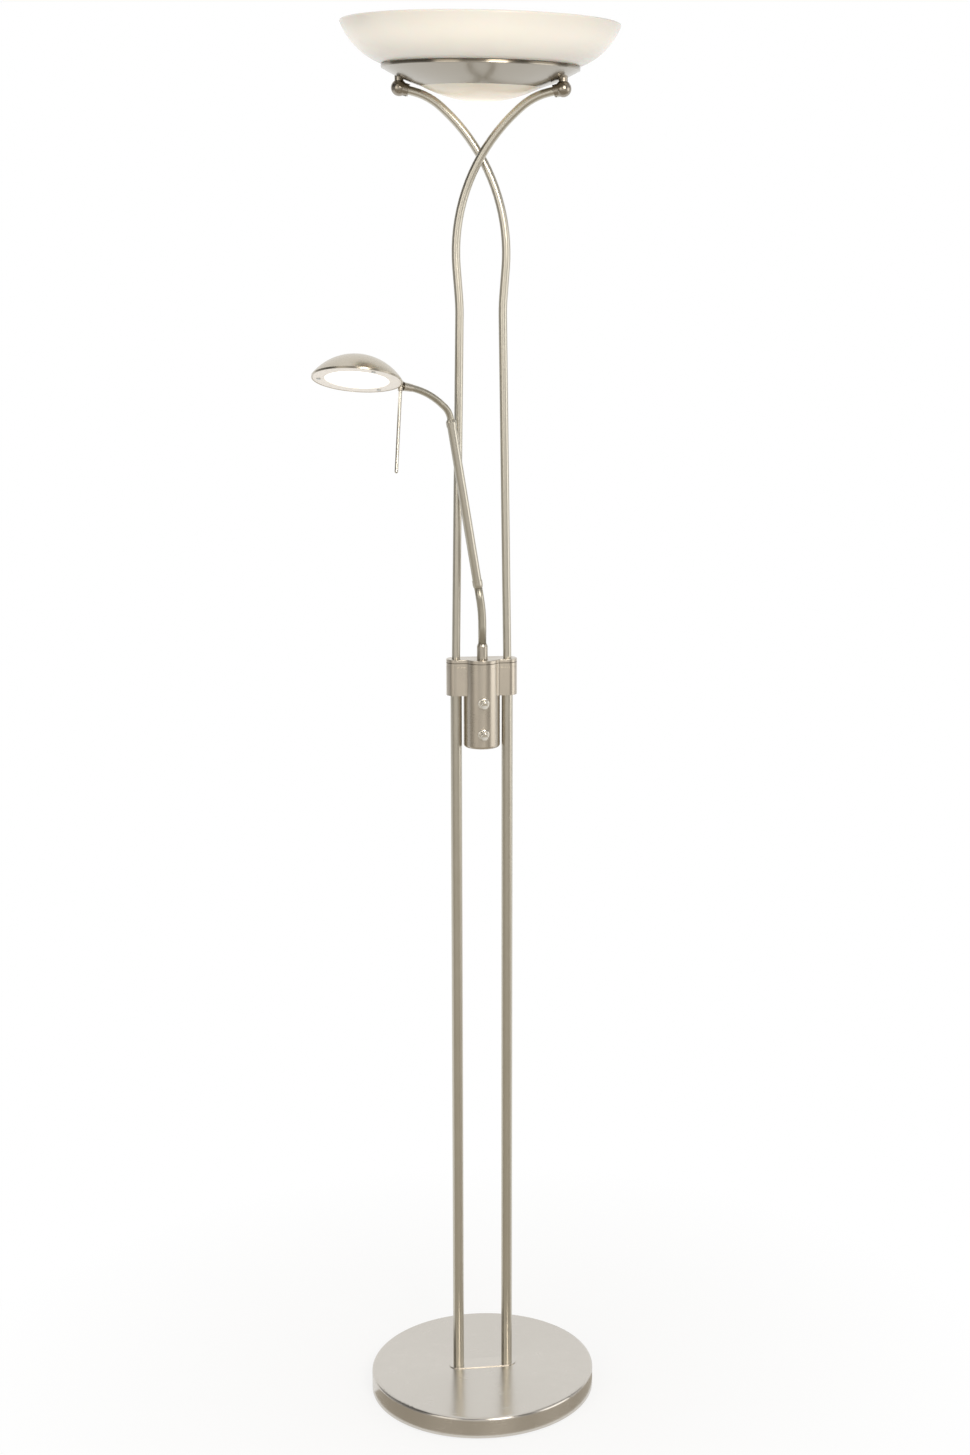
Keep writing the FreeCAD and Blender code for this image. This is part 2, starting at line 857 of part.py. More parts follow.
def lower_dish():
    """Shallow glass dish that hangs through the ring's mouth on a flat flange."""
    skin = ring_mouth_radius - slip_gap
    inner = skin - dish_wall
    rim = below(ring_outside, ring_mouth_radius)
    bowl = circle_through((-skin, rim), (0, rim - dish_depth), (skin, rim))
    inside = (bowl[0], bowl[1] - dish_wall)
    half = skin / 2
    return spun(
        [
            (0, rim - dish_depth),
            ((half, below(bowl, half)), (skin, rim)),
            (skin, dish_flange_bottom),
            (dish_flange_radius, dish_flange_bottom),
            (dish_flange_radius, dish_flange_top),
            (inner, dish_flange_top),
            (inner, below(inside, inner)),
            ((inner / 2, below(inside, inner / 2)), (0, below(inside, 0))),
        ]
    )


def dish_gasket():
    inner = ring_mouth_radius - dish_wall
    return ring(dish_flange_radius - 1, inner, gasket_thickness, V(0, 0, dish_flange_top))


def on_circle(radius, count, start=90.0):
    """Evenly spaced places round a circle, as vectors."""
    angles = [math.radians(start + 360 * k / count) for k in range(count)]
    return [V(radius * math.cos(a), radius * math.sin(a), 0) for a in angles]


def led_carrier():
    """Aluminium plate clamped by the two studs. Its posts lift the diffuser, and its feet press
    the dish down on its gasket."""
    plate = cylinder(carrier_seat_radius, carrier_thickness, V(0, 0, carrier_bottom))
    foot_bottom = dish_flange_top + gasket_thickness
    for place in on_circle(carrier_post_circle, 3):
        at = place + V(0, 0, carrier_top)
        plate = plate.fuse(cylinder(carrier_post_radius, diffuser_lift, at))
    for place in on_circle(carrier_foot_circle, 3):
        at = place + V(0, 0, foot_bottom)
        plate = plate.fuse(cylinder(carrier_post_radius, carrier_bottom - foot_bottom, at))
    for side in SIDES:
        at = ball_at(side)
        plate = plate.cut(cylinder(stud_radius + press_gap, ring_lip_radius, at))
    return plate


def led_ring(inner, outer, bottom, leds_up, count):
    """Flat ring of circuit board with a circle of light-emitting chips on one face."""
    board = ring(outer, inner, led_board_thickness, V(0, 0, bottom))
    face = bottom + led_board_thickness if leds_up else bottom - led_height
    chips = []
    for place in on_circle((inner + outer) / 2, count):
        half = led_size / 2
        chips.append(box(place.x - half, place.x + half, place.y - half, place.y + half,
                         face, face + led_height))
    return board.fuse(chips)


def up_led_board():
    return led_ring(up_board_inner, up_board_outer, carrier_top, True, up_led_count)


def down_led_board():
    bottom = carrier_bottom - led_board_thickness
    return led_ring(down_board_inner, down_board_outer, bottom, False, down_led_count)


def uplight_diffuser():
    return cylinder(diffuser_radius, diffuser_thickness, V(0, 0, carrier_top + diffuser_lift))


def uplight_bowl():
    """Opal glass bowl, one sweep from its open foot to a rounded rim, resting in the ring's lip."""
    outer = ((bowl_curve_centre, bowl_centre_level), bowl_curve_radius)
    inner = (outer[0], bowl_curve_radius - bowl_wall)
    rim_drop = math.sqrt(bowl_curve_radius**2 - (bowl_rim_radius - bowl_curve_centre) ** 2)
    rim = bowl_centre_level - rim_drop
    rim_inner = bowl_rim_radius - bowl_wall
    foot = bowl_mouth_radius
    belly = (foot + 2 * bowl_rim_radius) / 3
    inner_belly = (foot + 2 * rim_inner) / 3
    return spun(
        [
            (foot, below(outer, foot)),
            ((belly, below(outer, belly)), (bowl_rim_radius, rim)),
            ((bowl_rim_radius - bowl_wall / 2, rim + bowl_wall / 2), (rim_inner, rim)),
            (rim_inner, below(inner, rim_inner)),
            ((inner_belly, below(inner, inner_belly)), (foot, below(inner, foot))),
        ]
    )


# ---- Reading arm, drawn in its own upright plane: x is the reach from the collar, z the height ----
arm_place = FreeCAD.Placement(
    V(0, arm_seat_y, lid_top), FreeCAD.Rotation(UP, 180 + arm_turn)
)


def along(angle, length):
    """Step of the length in the arm's plane, at the angle from the vertical."""
    a = math.radians(angle)
    return V(math.sin(a), 0, math.cos(a)) * length


lean_point = V(0, 0, lower_bend_height)
tube_start = lean_point + along(arm_lean, lower_gooseneck_run)
tube_end = tube_start + along(arm_lean, arm_tube_length)
curl_root = tube_end + along(arm_lean, curl_root_run)
curl_bend = curl_root + along(curl_angle, curl_middle_run)
arm_tip = curl_bend + along(end_angle, curl_last_run)
lean_heading = along(arm_lean, 1)
end_heading = along(end_angle, 1)


def in_arm(shape):
    placed = shape.copy()
    placed.Placement = arm_place.multiply(placed.Placement)
    return placed


def arm_collar():
    top = collar_height + collar_taper
    bore = lower_gooseneck_radius + press_gap
    collar = spun(
        [
            (bore, collar_height + collar_taper - gooseneck_in_collar),
            (bore, top),
            (lower_gooseneck_radius + ferrule_wall, top),
            (collar_radius, collar_height),
            (collar_radius, rest_gap),
            (swivel_radius + press_gap, rest_gap),
            (swivel_radius + press_gap, rest_gap + swivel_in_collar),
            (swivel_bore_radius, rest_gap + swivel_in_collar),
            (swivel_bore_radius, collar_height + collar_taper - gooseneck_in_collar),
        ]
    )
    return in_arm(collar)


def swivel_stud_bottom():
    return -lid_thickness - rest_gap - swivel_nut_height - 1


def swivel_stud():
    """Hollow stud that the collar turns with, passed down through the lid."""
    bottom = swivel_stud_bottom()
    length = rest_gap + swivel_in_collar - bottom
    return in_arm(ring(swivel_radius, swivel_bore_radius, length, V(0, 0, bottom)))


def swivel_nut():
    at = V(0, 0, -lid_thickness - rest_gap - swivel_nut_height)
    nut = hexagon(swivel_nut_flats, swivel_nut_height, at)
    return in_arm(nut.cut(cylinder(swivel_radius + press_gap, swivel_nut_height, at)))


def lower_gooseneck():
    foot = V(0, 0, collar_height + collar_taper - gooseneck_in_collar)
    path = rounded_path([foot, lean_point, tube_start], [lower_bend_radius])
    return in_arm(pipe(path, lower_gooseneck_radius, gooseneck_bore_radius))


def arm_tube():
    return in_arm(ring(arm_tube_radius, arm_tube_radius - arm_tube_wall, arm_tube_length,
                       tube_start, lean_heading))


def ferrule(joint, outward, gooseneck_radius):
    """Sleeve over the place where the tube meets a gooseneck. It tapers on the gooseneck's side."""
    outer = arm_tube_radius + press_gap + ferrule_wall
    slim = gooseneck_radius + press_gap + ferrule_wall
    sleeve = cylinder(outer, ferrule_cover, joint, -outward)
    sleeve = sleeve.fuse(Part.makeCone(outer, slim, ferrule_taper, joint, outward))
    bore = cylinder(arm_tube_radius + press_gap, ferrule_cover, joint, -outward)
    neck = cylinder(gooseneck_radius + press_gap, ferrule_taper, joint, outward)
    return in_arm(sleeve.cut(bore).cut(neck))


def lower_ferrule():
    return ferrule(tube_start, -lean_heading, lower_gooseneck_radius)


def upper_ferrule():
    return ferrule(tube_end, lean_heading, upper_gooseneck_radius)


def upper_gooseneck():
    last = arm_tip - end_heading * end_ferrule_tip
    path = rounded_path(
        [tube_end, curl_root, curl_bend, last],
        [curl_root_radius, curl_last_radius],
    )
    return in_arm(pipe(path, upper_gooseneck_radius, gooseneck_bore_radius))


def end_ferrule():
    """Tapered cap on the arm's tip, with the pivot pin that the head turns on."""
    back = arm_tip - end_heading * end_ferrule_length
    slim = upper_gooseneck_radius + press_gap + ferrule_wall / 2
    cap = Part.makeCone(slim, end_ferrule_radius, end_ferrule_length, back, end_heading)
    cap = cap.fuse(cylinder(pivot_radius, pivot_length, arm_tip, end_heading))
    bore = end_ferrule_length - end_ferrule_tip
    cap = cap.cut(cylinder(upper_gooseneck_radius + press_gap, bore, back, end_heading))
    wire_hole = pivot_radius / 2
    return in_arm(
        cap.cut(cylinder(wire_hole, end_ferrule_length + pivot_length, back, end_heading))
    )


# ---- Reading head: x runs on from the arm's tip across the head, z is the head's own upright ----
head_place = arm_place.multiply(
    FreeCAD.Placement(arm_tip, FreeCAD.Rotation(V(0, 1, 0), end_angle - 90))
).multiply(FreeCAD.Placement(V(0, 0, 0), FreeCAD.Rotation(V(1, 0, 0), head_roll)))
knuckle_x = rest_gap + knuckle_radius
rim_x = knuckle_x + knuckle_radius + slip_gap
head_middle = V(rim_x + head_radius, 0, -head_below_arm)
boss_root = V(knuckle_x, 0, boss_rise)


def in_head(shape):
    placed = shape.copy()
    placed.Placement = head_place.multiply(placed.Placement)
    return placed


def head_knuckle():
    """Small upright barrel that turns on the pivot pin, carries the shell and takes the rod."""
    ahead = V(1, 0, 0)
    foot = V(knuckle_x, 0, -knuckle_height / 2)
    barrel = cylinder(knuckle_radius, knuckle_height, foot)
    ends = [e for e in barrel.Edges if e.BoundBox.ZLength < 0.01]
    barrel = barrel.makeFillet(knuckle_radius / 4, ends)
    barrel = barrel.fuse(cylinder(boss_radius, boss_length, boss_root, ahead))
    barrel = barrel.cut(cylinder(pivot_radius + shaft_gap, pivot_length + rest_gap, V(0, 0, 0),
                                 ahead))
    return in_head(barrel.cut(cylinder(rod_thread_radius + press_gap, rod_thread_length, foot)))


def head_shell():
    """Spun dome with a short upright lip, open below."""
    r = head_radius
    inner = r - head_wall
    dome = circle_through((-r, head_lip), (0, head_height), (r, head_lip))
    inside = (dome[0], dome[1] - head_wall)

    def above(circle, at):
        return 2 * circle[0][1] - below(circle, at)

    inner_lip = above(inside, inner)
    shell = spun(
        [
            (inner, 0),
            (r, 0),
            (r, head_lip),
            ((r / 2, above(dome, r / 2)), (0, head_height)),
            (0, above(inside, 0)),
            ((inner / 2, above(inside, inner / 2)), (inner, inner_lip)),
        ],
        head_middle,
    )
    hole = cylinder(boss_radius + press_gap, head_radius / 2, boss_root, V(1, 0, 0))
    return in_head(shell.cut(hole))


def head_bezel():
    """Flat ring round the lens, held up by three screws."""
    outer = head_radius - head_wall - slip_gap
    at = head_middle + UP * bezel_recess
    flat = ring(outer, lens_opening_radius, bezel_sheet, at)
    for place in on_circle(head_screw_circle, head_screw_count):
        flat = flat.cut(cylinder(board_screw_radius + press_gap, bezel_sheet, at + place))
    return in_head(flat)


def head_lens():
    at = head_middle + UP * (bezel_recess + bezel_sheet)
    return in_head(cylinder(lens_opening_radius + lens_overlap, lens_thickness, at))


def head_heatsink():
    """Aluminium plate up in the dome, with posts for the bezel screws and a lug for the knuckle."""
    dome = circle_through(
        (-head_radius, head_lip), (0, head_height), (head_radius, head_lip)
    )
    top = heatsink_lift + heatsink_thickness
    inner = dome[1] - head_wall
    radius = math.sqrt(inner**2 - (top - dome[0][1]) ** 2) - rest_gap
    plate = cylinder(radius, heatsink_thickness, head_middle + UP * heatsink_lift)
    post_foot = bezel_recess + bezel_sheet
    for place in on_circle(head_screw_circle, head_screw_count):
        at = head_middle + place + UP * post_foot
        plate = plate.fuse(cylinder(head_post_radius, heatsink_lift - post_foot, at))
        plate = plate.cut(cylinder(board_screw_radius + press_gap, heatsink_lift, at))
    lug_bottom = head_middle.z + post_foot + rest_gap
    lug_start = head_middle.x - radius - lug_reach
    lug_top = head_middle.z + heatsink_lift
    lug = box(lug_start, boss_root.x + boss_length, -lug_side, lug_side, lug_bottom, lug_top)
    bore = cylinder(boss_radius + press_gap, boss_length + press_gap, boss_root, V(1, 0, 0))
    return in_head(plate.fuse(lug).cut(bore))


def head_board():
    """Round board under the heatsink with a circle of light-emitting chips facing the lens."""
    at = head_middle + UP * (heatsink_lift - led_board_thickness)
    board = cylinder(head_board_radius, led_board_thickness, at)
    half = led_size / 2
    for place in on_circle(head_led_circle, head_led_count):
        chip = at + place
        board = board.fuse(box(chip.x - half, chip.x + half, chip.y - half, chip.y + half,
                               chip.z - led_height, chip.z))
    return in_head(board)


def head_screws():
    screws = []
    for place in on_circle(head_screw_circle, head_screw_count):
        at = head_middle + place + UP * bezel_recess
        head = cylinder(screw_head_radius, screw_head_height / 2, at, -UP)
        screws.append(head.fuse(cylinder(board_screw_radius, heatsink_lift, at)))
    return in_head(Part.makeCompound(screws))


def rod_handle():
    """Rod screwed up into the knuckle, with a rounded lower end."""
    top = V(knuckle_x, 0, -knuckle_height / 2)
    straight = rod_length - rod_radius
    rod = cylinder(rod_radius, straight, top, -UP)
    rod = rod.fuse(Part.makeSphere(rod_radius, top - UP * straight))
    return in_head(rod.fuse(cylinder(rod_thread_radius, rod_thread_length, top)))


# ---- All pieces ----
pieces = {
    "base_pad": base_pad(),
    "base_weight": base_weight(),
    "base_cover": base_cover(),
    "cord_grommet": cord_grommet(),
    "pole_plate": pole_plate(),
    "foot_inserts": pair(foot_insert),
    "foot_nipples": pair(foot_nipple),
    "foot_washers": pair(foot_washer),
    "foot_nuts": pair(foot_nut),
    "left_lower_pole": lower_pole(-1),
    "right_lower_pole": lower_pole(1),
    "pole_top_inserts": pair(pole_top_insert),
    "coupling_nipples": pair(coupling_nipple),
    "tube_end_inserts": pair(tube_end_insert),
    "centre_body": centre_body(),
    "centre_lid": centre_lid(),
    "driver_board": driver_board(),
    "board_screws": board_screws(),
    "left_upper_tube": upper_tube(-1),
    "right_upper_tube": upper_tube(1),
    "left_ball": tube_ball(1),
    "right_ball": tube_ball(-1),
    "socket_screws": socket_screws(),
    "ball_studs": both_balls(ball_stud),
    "neck_sleeves": both_balls(neck_sleeve),
    "wedge_spacers": both_balls(wedge_spacer),
    "stud_nuts": both_balls(stud_nut),
    "cradle_ring": cradle_ring(),
    "lower_dish": lower_dish(),
    "dish_gasket": dish_gasket(),
    "led_carrier": led_carrier(),
    "up_led_board": up_led_board(),
    "down_led_board": down_led_board(),
    "uplight_diffuser": uplight_diffuser(),
    "uplight_bowl": uplight_bowl(),
    "arm_collar": arm_collar(),
    "swivel_stud": swivel_stud(),
    "swivel_nut": swivel_nut(),
    "lower_gooseneck": lower_gooseneck(),
    "lower_ferrule": lower_ferrule(),
    "arm_tube": arm_tube(),
    "upper_ferrule": upper_ferrule(),
    "upper_gooseneck": upper_gooseneck(),
    "end_ferrule": end_ferrule(),
    "head_knuckle": head_knuckle(),
    "head_shell": head_shell(),
    "head_heatsink": head_heatsink(),
    "head_board": head_board(),
    "head_lens": head_lens(),
    "head_bezel": head_bezel(),
    "head_screws": head_screws(),
    "rod_handle": rod_handle(),
}
for which, level in knob_levels.items():
    pieces[which + "_dimmer"] = dimmer(level)
    pieces[which + "_bezel"] = bezel(level)
    pieces[which + "_shaft"] = dimmer_shaft(level)
    pieces[which + "_knob"] = knob(level)

os.makedirs("parts", exist_ok=True)
for name, shape in pieces.items():
    shape.exportStep("parts/" + name + ".step")
    box_of = shape.BoundBox
    print(
        f"{name:18s} solids {len(shape.Solids)} valid {shape.isValid()} volume {shape.Volume:12.1f}"
        f"  z {box_of.ZMin:7.1f} to {box_of.ZMax:7.1f}"
    )
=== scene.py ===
# Looks of a torchiere floor lamp with a reading light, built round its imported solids. Metres, +Z
# up, front at -Y. The sections follow the lamp's assembly, from the studio and the base to the
# reading head. Every solid keeps its place; the knobs and the two goosenecks are finer pieces.
import math

import bmesh
import bpy
from mathutils import Matrix, Vector


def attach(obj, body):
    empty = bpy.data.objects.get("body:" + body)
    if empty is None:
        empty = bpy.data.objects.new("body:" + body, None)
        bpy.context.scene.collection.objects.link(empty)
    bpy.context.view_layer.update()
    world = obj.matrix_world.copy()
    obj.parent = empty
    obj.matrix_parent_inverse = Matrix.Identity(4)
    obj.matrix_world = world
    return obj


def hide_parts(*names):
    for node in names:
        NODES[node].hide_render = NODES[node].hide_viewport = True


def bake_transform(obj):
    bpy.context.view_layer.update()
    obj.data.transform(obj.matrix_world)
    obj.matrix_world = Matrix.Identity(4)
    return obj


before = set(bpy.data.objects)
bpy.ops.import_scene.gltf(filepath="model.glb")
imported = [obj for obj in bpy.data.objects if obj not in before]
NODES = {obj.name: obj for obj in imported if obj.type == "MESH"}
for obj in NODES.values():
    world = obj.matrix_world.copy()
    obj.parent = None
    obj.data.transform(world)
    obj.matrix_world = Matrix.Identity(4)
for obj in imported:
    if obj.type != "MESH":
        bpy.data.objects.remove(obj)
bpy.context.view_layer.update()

# ---- Studio ----
# A plain white cove with soft light, and a camera at the photograph's angle. Only reflections see
# the grey wall and floor card round the front: a bright strip in the wall gives the long highlight
# on the metal, and the card keeps the side of the base quiet.
CAMERA_PLACE = Vector((-0.301, -2.863, 1.5538))
CAMERA_DOWN, CAMERA_TURN, CAMERA_ROLL = (math.radians(a) for a in (12.289, 9.777, 0.7234))
CAMERA_LENS, CAMERA_SENSOR, CAMERA_SHIFT = 56.25, 36.0, -0.0985
CAMERA_REACH = 60.0

ahead = Vector((math.sin(CAMERA_TURN) * math.cos(CAMERA_DOWN),
                math.cos(CAMERA_TURN) * math.cos(CAMERA_DOWN), -math.sin(CAMERA_DOWN)))
across = Vector((math.cos(CAMERA_TURN), -math.sin(CAMERA_TURN), 0))
upward = across.cross(ahead)
camera_data = bpy.data.cameras.new("camera")
camera_data.lens = CAMERA_LENS
camera_data.sensor_width = CAMERA_SENSOR
camera_data.shift_x = CAMERA_SHIFT
camera_data.clip_end = CAMERA_REACH
camera = bpy.data.objects.new("camera", camera_data)
bpy.context.scene.collection.objects.link(camera)
aim = Matrix((across, upward, -ahead)).transposed() @ Matrix.Rotation(CAMERA_ROLL, 3, "Z")
camera.matrix_world = Matrix.Translation(CAMERA_PLACE) @ aim.to_4x4()
bpy.context.scene.camera = camera
bpy.context.scene.view_settings.view_transform = "Standard"


def linear(code, level=1.0):
    """Scene colour of an sRGB hex code such as "C9C4BC", times a level."""
    parts = [int(code[k:k + 2], 16) / 255 for k in (0, 2, 4)]
    parts = [c / 12.92 if c <= 0.04045 else ((c + 0.055) / 1.055) ** 2.4 for c in parts]
    return (*[min(1.0, c * level) for c in parts], 1.0)


def add(tree, kind, inputs=None, **settings):
    """New node with its settings. An input is a value, a socket, or a node by its first socket."""
    node = tree.nodes.new("ShaderNode" + kind)
    for key, value in settings.items():
        setattr(node, key, value)
    for key, value in (inputs or {}).items():
        if isinstance(value, bpy.types.Node):
            value = value.outputs[0]
        if isinstance(value, bpy.types.NodeSocket):
            tree.links.new(value, node.inputs[key])
        else:
            node.inputs[key].default_value = value
    return node


def seen_share(tree):
    """1 for rays from the camera and for reflected or transmitted ones, 0 for lighting rays."""
    path = add(tree, "LightPath")
    seen = add(tree, "Math", {0: path.outputs["Is Camera Ray"], 1: path.outputs["Is Glossy Ray"]},
               operation="MAXIMUM")
    return add(tree, "Math", {0: seen, 1: path.outputs["Is Transmission Ray"]}, operation="MAXIMUM")


WORLD_LIGHT = 0.64
world = bpy.data.worlds.new("white_cove")
world.use_nodes = True
bpy.context.scene.world = world
tree = world.node_tree
tree.nodes.clear()
lit = add(tree, "Background", {"Color": linear("FFFCF8"), "Strength": WORLD_LIGHT})
shown = add(tree, "Background", {"Color": linear("FFFFFF"), "Strength": 1.0})
either = add(tree, "MixShader", {0: seen_share(tree), 1: lit, 2: shown})
add(tree, "OutputWorld", {"Surface": either})


def soft_light(name, place, target, size, power):
    data = bpy.data.lights.new(name, "AREA")
    data.shape = "RECTANGLE"
    data.size, data.size_y = size
    data.energy = power
    data.color = linear("FFF9F0")[:3]
    light = bpy.data.objects.new(name, data)
    light.location = place
    light.rotation_euler = (Vector(target) - Vector(place)).to_track_quat("-Z", "Y").to_euler()
    bpy.context.scene.collection.objects.link(light)


soft_light("key_light", (0.7, -3.0, 2.5), (0, 0, 1.5), (1.2, 1.2), 46)
soft_light("fill_light", (-2.2, -2.2, 1.9), (0, 0, 1.1), (1.6, 2.2), 14)


def studio_piece(name, mesh, *materials):
    """Object of the studio, which is not part of the lamp."""
    data = bpy.data.meshes.new(name)
    mesh.to_mesh(data)
    mesh.free()
    piece = bpy.data.objects.new(name, data)
    bpy.context.scene.collection.objects.link(piece)
    for material in materials:
        data.materials.append(material)
    return piece


def start_material(name):
    """Empty material with a Principled shader on its output: (material, tree, shader)."""
    material = bpy.data.materials.new(name)
    material.use_nodes = True
    tree = material.node_tree
    tree.nodes.clear()
    shader = add(tree, "BsdfPrincipled")
    add(tree, "OutputMaterial", {"Surface": shader})
    return material, tree, shader


MM = 0.001


def grains(tree, point, sizes_mm, detail=3.0, rough=0.6):
    """Random tone with grains of a real size along each axis, in millimetres."""
    counted = add(tree, "VectorMath", {0: point, 1: [1 / (size * MM) for size in sizes_mm]},
                  operation="MULTIPLY")
    return add(tree, "TexNoise", {"Vector": counted, "Scale": 1.0, "Detail": detail,
                                  "Roughness": rough}).outputs[0]


# Most of a random tone lies between these two, and maps from them to a wanted span.
TONE_LOW, TONE_HIGH = 0.3, 0.7


def round_place(tree, point):
    """The point as (distance from the lamp's axis, turn about it, height), and the distance."""
    apart = add(tree, "SeparateXYZ", {0: point})
    x, y, height = apart.outputs
    square = add(tree, "Math", {0: add(tree, "Math", {0: x, 1: x}, operation="MULTIPLY"),
                                1: add(tree, "Math", {0: y, 1: y}, operation="MULTIPLY")})
    distance = add(tree, "Math", {0: square}, operation="SQRT")
    turn = add(tree, "Math", {0: y, 1: x}, operation="ARCTAN2")
    return add(tree, "CombineXYZ", {0: distance, 1: turn, 2: height}), distance


# Matt white floor paint with a faint speckle. Near the base the eye sees mostly plain white with
# the soft shadow left in; further out it is all white, so that no horizon shows.
FLOOR_RADIUS, FLOOR_STEPS = 7.0, 96
WHITE_NEAR, WHITE_FAR, NEAR_RADIUS, FAR_RADIUS = 0.80, 1.0, 0.16, 0.75
floor_material, tree, shader = start_material("matt_white_floor")
point = add(tree, "TexCoord").outputs["Object"]
speckle = grains(tree, point, (40, 40, 40))
tone = add(tree, "Mix", {0: speckle, 6: linear("F4F3F1"), 7: linear("F7F6F4")}, data_type="RGBA")
tree.links.new(tone.outputs[2], shader.inputs["Base Color"])
shader.inputs["Roughness"].default_value = 0.9
whiteness = add(tree, "MapRange", {0: round_place(tree, point)[1], 1: NEAR_RADIUS, 2: FAR_RADIUS,
                                   3: WHITE_NEAR, 4: WHITE_FAR})
share = add(tree, "Math", {0: seen_share(tree), 1: whiteness}, operation="MULTIPLY")
plain_white = add(tree, "Emission", {"Color": linear("FFFFFF"), "Strength": 1.0})
mixed = add(tree, "MixShader", {0: share, 1: shader, 2: plain_white})
tree.links.new(mixed.outputs[0], tree.nodes["Material Output"].inputs["Surface"])
floor_mesh = bmesh.new()
bmesh.ops.create_circle(floor_mesh, cap_ends=True, segments=FLOOR_STEPS, radius=FLOOR_RADIUS)
studio_piece("floor", floor_mesh, floor_material)

# Painted canvas wall that glows evenly. Its radial gradient is 0 at -X, 0.25 at -Y and 0.5 at +X:
# dark at the left, grey in front, a bright strip at the right, and dark again. It dims upwards.
WALL_RADIUS, WALL_FOOT, WALL_TOP, WALL_STEPS = 4.2, 0.01, 8.0, 64
WALL_START, WALL_SWEEP = math.radians(-222), math.radians(244)
WALL_STRENGTH, WALL_DIMMED, WALL_FADE = 2.4, 0.72, (1.9, 2.9)
WALL_TINT = "FFFDFA"
WALL_TONES = ((0.0, 0.13), (0.06, 0.12), (0.14, 0.26), (0.22, 0.37), (0.29, 0.30), (0.35, 0.16),
              (0.385, 0.16), (0.41, 0.84), (0.48, 0.84), (0.51, 0.24), (0.58, 0.17), (0.97, 0.15))
wall_material = bpy.data.materials.new("grey_studio_wall")
wall_material.use_nodes = True
tree = wall_material.node_tree
tree.nodes.clear()
point = add(tree, "TexCoord").outputs["Object"]
round_about = add(tree, "TexGradient", {"Vector": point}, gradient_type="RADIAL").outputs[0]
tones = add(tree, "ValToRGB", {"Fac": round_about})
ramp = tones.color_ramp
ramp.elements[0].position, ramp.elements[1].position = WALL_TONES[0][0], WALL_TONES[-1][0]
for where, _ in WALL_TONES[1:-1]:
    ramp.elements.new(where)
for element, (_, level) in zip(ramp.elements, WALL_TONES):
    element.color = linear(WALL_TINT, level)
up_the_wall = add(tree, "SeparateXYZ", {0: point}).outputs[2]
strength = add(tree, "MapRange", {0: up_the_wall, 1: WALL_FADE[0], 2: WALL_FADE[1],
                                  3: WALL_STRENGTH, 4: WALL_DIMMED})
glow = add(tree, "Emission", {"Color": tones, "Strength": strength})
add(tree, "OutputMaterial", {"Surface": glow})

# Grey felt card, softly mottled, flat on the floor from just outside the base.
CARD_INNER, CARD_LEVEL, CARD_STEPS = 0.1535, 0.004, 46
CARD_START, CARD_SWEEP = math.radians(-176.25), math.radians(175.375)
CARD_COLOUR = "AEA698"
card_material, tree, shader = start_material("grey_floor_card")
mottle = grains(tree, add(tree, "TexCoord").outputs["Object"], (300, 300, 300))
tone = add(tree, "Mix", {0: mottle, 6: linear(CARD_COLOUR, 0.96), 7: linear(CARD_COLOUR, 1.04)},
           data_type="RGBA")
tree.links.new(tone.outputs[2], shader.inputs["Emission Color"])
shader.inputs["Base Color"].default_value = linear("000000")
shader.inputs["Emission Strength"].default_value = 1.0


def sweep_round(mesh, foot, top, start, sweep, steps):
    """Surface that the line between two (radius, height) points sweeps about the lamp's axis."""
    ends = [mesh.verts.new((radius * math.cos(start), radius * math.sin(start), height))
            for radius, height in (foot, top)]
    bmesh.ops.spin(mesh, geom=[*ends, mesh.edges.new(ends)], cent=(0, 0, 0), axis=(0, 0, 1),
                   angle=sweep, steps=steps)


wall_mesh = bmesh.new()
sweep_round(wall_mesh, (WALL_RADIUS, WALL_FOOT), (WALL_RADIUS, WALL_TOP), WALL_START, WALL_SWEEP,
            WALL_STEPS)
sweep_round(wall_mesh, (CARD_INNER, CARD_LEVEL), (WALL_RADIUS, CARD_LEVEL), CARD_START, CARD_SWEEP,
            CARD_STEPS)
for face in wall_mesh.faces:
    face.material_index = int(face.calc_center_median().z < WALL_FOOT)
wall = studio_piece("studio_wall", wall_mesh, wall_material, card_material)
wall.visible_camera = False
wall.visible_diffuse = False
wall.visible_transmission = False
wall.visible_shadow = False


# ---- Base ----
# Pressed steel cover, nickel plated and brushed in circles, over a cast weight on a thin foam pad.
# The poles stand on a bright foot plate; zinc-plated nuts and nipples hold them under the cover.
CLOUD_MM = (23, 23, 31)
METAL_SPREAD, ROUGH_SPREAD, GRAIN_IN_BUMP, DARK_BAND_IN_BUMP = 0.02, 0.015, 0.02, 4.0


def dress(material, slot, *names):
    """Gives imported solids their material."""
    for name in names:
        for holder in NODES[name].material_slots:
            holder.material = material


